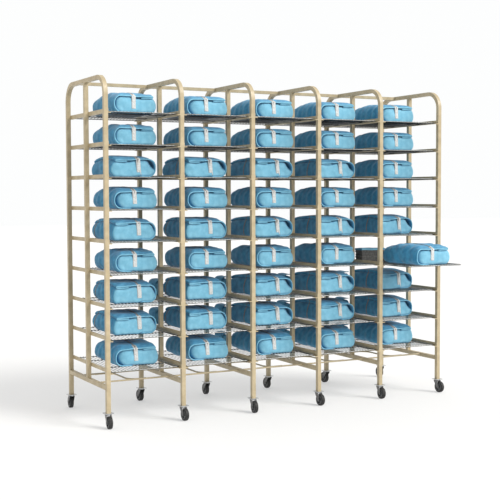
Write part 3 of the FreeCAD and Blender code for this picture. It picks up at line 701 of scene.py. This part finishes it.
def dented(points, seed, depth=0.0016, count=14):
    """Long shallow waves in chance directions, the same for every piece with the same seed."""
    chance = np.random.default_rng(seed)
    pushed = points.copy()
    for _ in range(count):
        direction = chance.normal(size=3)
        direction /= np.linalg.norm(direction)
        waves = direction * 2 * math.pi / chance.uniform(SHORTEST_WAVE, LONGEST_WAVE)
        push = chance.normal(size=3) * depth / math.sqrt(count) * 1.6
        pushed += np.sin(points @ waves + chance.uniform(0, 6.28))[:, None] * push
    return pushed


def rested(points):
    """Nothing goes below the wires it lies on."""
    flat = points.copy()
    flat[:, 2] = np.maximum(flat[:, 2], 0.0)
    return flat


print("carry, crown and dent ready")

# %% [markdown]
# ## Tape
#
# A short wide tape closes the flap: it starts low on the face and bridges the lip. A narrow one runs
# on over the top, and on some packs another goes over the side. Taut tape touches only the high
# spots, so its line is the outline of the pack as a straight-edge would meet it: rays find the
# surface, and the hull of what they hit is the tape.

# %% Taut tape
def taut(line):
    """The upper-left hull of points in (along, up), from the first to the last of them."""
    hull = []
    for spot in line:
        while len(hull) > 1:
            (ax, az), (bx, bz) = hull[-2], hull[-1]
            if (bx - ax) * (spot[1] - az) - (bz - az) * (spot[0] - ax) < 0:
                break
            hull.pop()
        hull.append(spot)
    return np.array(hull)


def evenly(line, count):
    """The same line with this many points, at even distances."""
    run = np.concatenate([[0], np.cumsum(np.linalg.norm(np.diff(line, axis=0), axis=1))])
    spots = np.linspace(0, run[-1], count)
    return np.stack([np.interp(spots, run, line[:, axis]) for axis in range(line.shape[1])], 1)


def ribbon(rows, thickness):
    """A closed thin band from rows of points that run side by side, raised along their normals."""
    rows = np.array(rows)
    count, length = rows.shape[:2]
    along = np.gradient(rows, axis=1)
    across = np.gradient(rows, axis=0)
    normal = np.cross(along, across)
    normal /= np.maximum(np.linalg.norm(normal, axis=2), 1e-9)[..., None]
    upper, lower = rows + normal * thickness / 2, rows - normal * thickness / 2
    points = np.concatenate([upper.reshape(-1, 3), lower.reshape(-1, 3)])
    total, faces = count * length, []
    for row in range(count - 1):
        for spot in range(length - 1):
            a = row * length + spot
            faces.append((a, a + 1, a + length + 1, a + length))
            faces.append((total + a, total + a + length, total + a + length + 1, total + a + 1))
    for spot in range(length - 1):
        for base in (0, (count - 1) * length):
            faces.append((base + spot, base + spot + 1, total + base + spot + 1, total + base + spot))
    for row in range(count - 1):
        for base in (0, length - 1):
            a = row * length + base
            faces.append((a, a + length, total + a + length, total + a))
    return points, faces


TAPE_WIDTH, TAPE_DOWN, TAPE_BACK = 0.027, 0.08, 0.012
NARROW_TAPE, NARROW_DOWN, NARROW_ENDS = 0.009, 0.03, 0.05
TAPE_THICKNESS = 0.0008
LIP = 0.05
TAPE_POINTS = 70
GIRTH_MIDDLE, GIRTH_FROM, GIRTH_TO = 0.05, math.radians(196), math.radians(60)
OUTSIDE = 0.4


def face_tape(tree, across, lean, back_to, height, width, down):
    """Tape from the face over the top. Lean moves its lower end sideways."""
    rows = []
    for offset in np.linspace(-width / 2, width / 2, 4):
        line = []
        for up in np.linspace(height - down, height + 0.02, 26):
            side = across + offset + lean * (height - up)
            hit = tree.ray_cast(Vector((side, -0.1, up)), Vector((0, 1, 0)))[0]
            if hit and hit.y < LIP:
                line.append((hit.y - TAPE_THICKNESS, up))
        for along in np.linspace(0.002, back_to, 50):
            hit = tree.ray_cast(Vector((across + offset, along, 0.3)), Vector((0, 0, -1)))[0]
            if hit:
                line.append((along, hit.z + TAPE_THICKNESS))
        profile = evenly(taut(line), TAPE_POINTS)
        side = across + offset + lean * np.clip(height - profile[:, 1], 0, None)
        rows.append(np.stack([side, profile[:, 0], profile[:, 1]], 1))
    return ribbon(rows, TAPE_THICKNESS)


def girth_tape(tree, along):
    """A narrow band over the left side and the top, at one distance from the front."""
    rows = []
    for offset in (-NARROW_TAPE / 2, 0, NARROW_TAPE / 2):
        row = []
        for angle in np.linspace(GIRTH_FROM, GIRTH_TO, 46):
            ray = Vector((math.cos(angle), 0, math.sin(angle)))
            start = Vector((0, along + offset, GIRTH_MIDDLE)) + ray * OUTSIDE
            hit = tree.ray_cast(start, -ray)[0]
            row.append(np.array(hit + ray * TAPE_THICKNESS))
        rows.append(np.array(row))
    return ribbon(rows, TAPE_THICKNESS)


print("tape", round(1000 * TAPE_WIDTH), "mm wide")

# %% [markdown]
# ## Putting a pack together
#
# Stack, sheet and tapes become one mesh with three finishes. A pack folded the other way is its mirror
# image, made before the tape goes on, since tape is stuck where the hand finds it and not mirrored.

# %% Make the packs' meshes
def put_together(pieces):
    """One set of points, faces and material marks from several (points, faces, mark)."""
    points, faces, marks, base = [], [], [], 0
    for some_points, some_faces, mark in pieces:
        points.append(some_points)
        faces += [tuple(base + corner for corner in face) for face in some_faces]
        marks += [mark] * len(some_faces)
        base += len(some_points)
    return np.concatenate(points), faces, marks


def pack_mesh(name, kind, mirrored, seed, tape_at, lean, girths=()):
    """The finished mesh of one way of folding a pack. Its front is at Y = 0, its middle at X = 0."""
    index = list(blocks).index(kind)
    stack, moves = rest_points[index], swellings[index]
    stack_faces = [tuple(face.vertices) for face in blocks[kind].data.polygons]
    strip, strip_faces = thick_strip(SHEET_LINE, SHEET, 0.0, PACK_LENGTH + 0.006)
    strip = strip + carried(strip, stack, moves)
    soft = []
    for points, faces in ((stack + moves, stack_faces), (strip, strip_faces)):
        points = rested(dented(crowned(points), seed))
        if mirrored:
            points = points * np.array([-1, 1, 1])
        soft.append((points, faces, 0))
    points, faces, _ = put_together(soft)
    tree = BVHTree.FromPolygons([tuple(p) for p in points], faces)
    top = PACK_ENDS + 0.002
    soft.append((*face_tape(tree, tape_at, lean, TAPE_BACK, top, TAPE_WIDTH, TAPE_DOWN), 1))
    narrow_to = PACK_LENGTH - NARROW_ENDS
    soft.append((*face_tape(tree, tape_at, lean, narrow_to, top, NARROW_TAPE, NARROW_DOWN), 2))
    for along in girths:
        soft.append((*girth_tape(tree, along), 2))
    points, faces, marks = put_together(soft)
    return mesh_from(name, points, faces, (blue_wrap, crepe_tape, tan_tape_painted_shade), marks)


# the kind, whether it is mirrored, the seed of its dents, the tape's place and lean, the side tapes' places
PACK_MESHES = {
    "snug_left": pack_mesh("snug_left", "snug", False, 3, -0.004, 0.0),
    "lipped_left": pack_mesh("lipped_left", "lipped", False, 5, -0.005, 0.05),
    "creased_right": pack_mesh("creased_right", "creased", True, 7, 0.018, 0.08, (0.325,)),
    "pocketed_right": pack_mesh("pocketed_right", "pocketed", True, 11, 0.02, 0.08, (0.155,)),
    "open": pack_mesh("open_pack", "lipped", False, 13, -0.004, 0.04),
}
for name, mesh in PACK_MESHES.items():
    print(name, len(mesh.polygons), "faces")
for block in blocks.values():
    bpy.data.objects.remove(block)

# %% [markdown]
# ## Laying the packs on the shelves
#
# The frame marks each pack with a plain block, and a node may hold many of them. Splitting a node's
# mesh into its separate solids gives every pack's place. A pack is then hung on the body its block
# rides on, turned by less than a degree so that no two lie quite alike, and stands for that block.

# %% Find the blocks' places
def solids_in(node):
    """The (lowest, highest) corners of each separate solid of a node, left to right, then top down."""
    work = bmesh.new()
    work.from_mesh(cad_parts[node].data)
    bmesh.ops.remove_doubles(work, verts=work.verts, dist=1e-5)
    seen, boxes = set(), []
    for vert in work.verts:
        if vert in seen:
            continue
        group, waiting = [], [vert]
        seen.add(vert)
        while waiting:
            here = waiting.pop()
            group.append(here.co.copy())
            for edge in here.link_edges:
                other = edge.other_vert(here)
                if other not in seen:
                    seen.add(other)
                    waiting.append(other)
        places = np.array(group)
        boxes.append((Vector(places.min(0)), Vector(places.max(0))))
    work.free()
    return sorted(boxes, key=lambda box: (round(box[0].x, 2), -round(box[0].z, 2)))


BAYS, LEVELS = 5, 9
fixed_packs = solids_in("linen_packs_bays_1_4")
fixed_rolls = solids_in("linen_rolls_bays_1_4")
print(len(fixed_packs), "packs and", len(fixed_rolls), "rolls in bays 1 to 4")

# %% Lay the packs
MOST_TURN = 0.7
chance = np.random.default_rng(20)


def fold_of(bay, level):
    """Which way the pack at this place is folded. Bays from the left, levels from the top."""
    if (bay, level) == (5, 6):
        return "open"
    if level == 6 or (bay == 1 and level in (1, 2)):
        return "snug_left"
    if level in (1, 2, 4, 9) or (bay == 5 and level == 3):
        return "lipped_left"
    if level != 3 and bay <= 2:
        return "creased_right"
    return "pocketed_right"


def front_middle(low, high):
    """Where a piece with its front at Y = 0 and its middle at X = 0 goes, to fill this box."""
    return Vector(((low.x + high.x) / 2, low.y, low.z))


def lay(name, mesh, place, body, node, turn=0.0):
    """An object with this mesh at this place, riding on a body, for a node."""
    made = bpy.data.objects.new(name, mesh)
    made.location = place
    made.rotation_euler = (0, 0, turn)
    scene.collection.objects.link(made)
    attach(made, body)
    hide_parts(node)
    return made


for bay in range(1, BAYS + 1):
    for level in range(1, LEVELS + 1):
        if bay < BAYS:
            low, high = fixed_packs[(bay - 1) * LEVELS + level - 1]
            body, node = "frame", "linen_packs_bays_1_4"
        else:
            body, node = f"bay_5_shelf_{level}", f"linen_pack_5_{level}"
            low, high = max(solids_in(node), key=lambda box: box[1].y - box[0].y)
        mesh = PACK_MESHES[fold_of(bay, level)]
        turn = math.radians(chance.uniform(-MOST_TURN, MOST_TURN))
        lay(f"pack_{bay}_{level}", mesh, front_middle(low, high), body, node, turn)
print(BAYS * LEVELS, "packs laid")

# %% [markdown]
# ## The rolls behind
#
# Behind some packs, on the three lowest levels, lies a small roll of linen in the same blue wrap. It
# is the same recipe at another size: a block, a strip round it, and a little swelling.

# %% Rolls of linen
roll_low, roll_high = fixed_rolls[0]
ROLL_WIDTH, ROLL_LENGTH, ROLL_HEIGHT = roll_high - roll_low
ROLL_SWELL, ROLL_DENTS, ROLL_SEED = 0.003, 0.001, 31
half_roll, roll_sheet = ROLL_WIDTH / 2, 0.005
roll_outline = rounded_line([
    (-half_roll + roll_sheet + 0.001, 0.001, 0.026),
    (half_roll - 0.004, 0.001, 0.024),
    (half_roll - 0.003, ROLL_HEIGHT - 0.014, 0.026),
    (-half_roll + roll_sheet + 0.001, ROLL_HEIGHT - 0.008, 0.03),
], closed=True, step=0.004)
roll_shape = soft_block(roll_outline, 0.005, ROLL_LENGTH - 0.004, 0.014, 0.01, 0.006)
roll_block = even_squares("block_roll", *roll_shape)
(roll_rest,), (roll_moves,) = settle([roll_block], ROLL_SWELL)
roll_line = rounded_line([
    (half_roll - 0.012, ROLL_HEIGHT - 0.5 * roll_sheet, 0),
    (-half_roll + 0.5 * roll_sheet, ROLL_HEIGHT - 0.5 * roll_sheet, 0.031),
    (-half_roll + 0.5 * roll_sheet, 0.5 * roll_sheet, 0.026),
    (0.0, 0.5 * roll_sheet, 0),
], step=0.004)
roll_strip, roll_strip_faces = thick_strip(roll_line, roll_sheet, 0.0, ROLL_LENGTH, 0.008, 0.012)
roll_strip = roll_strip + carried(roll_strip, roll_rest, roll_moves)
roll_faces = [tuple(face.vertices) for face in roll_block.data.polygons]
points, faces, _ = put_together([
    (rested(dented(roll_rest + roll_moves, ROLL_SEED, ROLL_DENTS)), roll_faces, 0),
    (rested(dented(roll_strip, ROLL_SEED, ROLL_DENTS)), roll_strip_faces, 0),
])
roll_mesh = mesh_from("roll", points, faces, (blue_wrap,))
bpy.data.objects.remove(roll_block)

for number, (low, high) in enumerate(fixed_rolls, 1):
    place = front_middle(low, high)
    lay(f"roll_{number}", roll_mesh, place, "frame", "linen_rolls_bays_1_4")
LEVELS_WITH_ROLLS = 7, 8, 9
for level in LEVELS_WITH_ROLLS:
    body, node = f"bay_5_shelf_{level}", f"linen_pack_5_{level}"
    low, high = min(solids_in(node), key=lambda box: box[1].y - box[0].y)
    lay(f"roll_5_{level}", roll_mesh, front_middle(low, high), body, node)
print(len(fixed_rolls) + len(LEVELS_WITH_ROLLS), "rolls")

# %% [markdown]
# ## The small bundle
#
# On the open shelf, behind its pack, stands a short stack of grey cloths with a thin blue cover laid
# over it. Folded cloth shows its folds as rounded layers at the front, so the stack is four soft
# slabs, each a little out of line with the one below.

# %% Grey cloths and their cover
CLOTHS = 4
CLOTH_INSET, OUT_OF_LINE, OVERLAP = 0.004, 0.0015, 0.001


def slab(width, length, low, high, rounding, seed, shift=0.0):
    """A soft flat slab between two heights, with round edges all round."""
    radius = 0.42 * (high - low)
    outline = rounded_line([
        (-width / 2 + shift, low, radius), (width / 2 + shift, low, radius),
        (width / 2 + shift, high, radius), (-width / 2 + shift, high, radius),
    ], closed=True, step=0.004)
    points, faces = soft_block(outline, 0.0, length, rounding, 0.0, 0.007)
    return dented(points, seed, 0.0007), faces, 0


bundle_low, bundle_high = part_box("small_bundle")
width, length, height = bundle_high - bundle_low
width, length = width - 2 * CLOTH_INSET, length - 2 * CLOTH_INSET
slabs = []
for number in range(CLOTHS):
    low, high = height * number / CLOTHS - OVERLAP, height * (number + 1) / CLOTHS + OVERLAP
    slabs.append(slab(width, length, low, high, 0.005, 40 + number, OUT_OF_LINE * (-1) ** number))
points, faces, _ = put_together(slabs)
bundle_mesh = mesh_from("grey_cloths", rested(points), faces, (grey_cotton,))
place = front_middle(bundle_low, bundle_high)
place.y += CLOTH_INSET
lay("grey_cloths", bundle_mesh, place, "bay_5_shelf_6", "small_bundle")

cover_low, cover_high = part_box("bundle_cover")
width, length, height = cover_high - cover_low
points, faces, _ = slab(width, length, 0.0, height - 0.001, 0.006, 50)
cover_mesh = mesh_from("bundle_sheet", points, faces, (blue_wrap,))
place = front_middle(cover_low, cover_high)
lay("bundle_sheet", cover_mesh, place, "bay_5_shelf_6", "bundle_cover")
print("bundle of", CLOTHS, "cloths")

# %% [markdown]
# ## Finish
#
# At the end the scene is brought up to date. Soft goods may stand a few millimetres proud of the
# frame's blocks.

# %% Finish
bpy.context.view_layer.update()
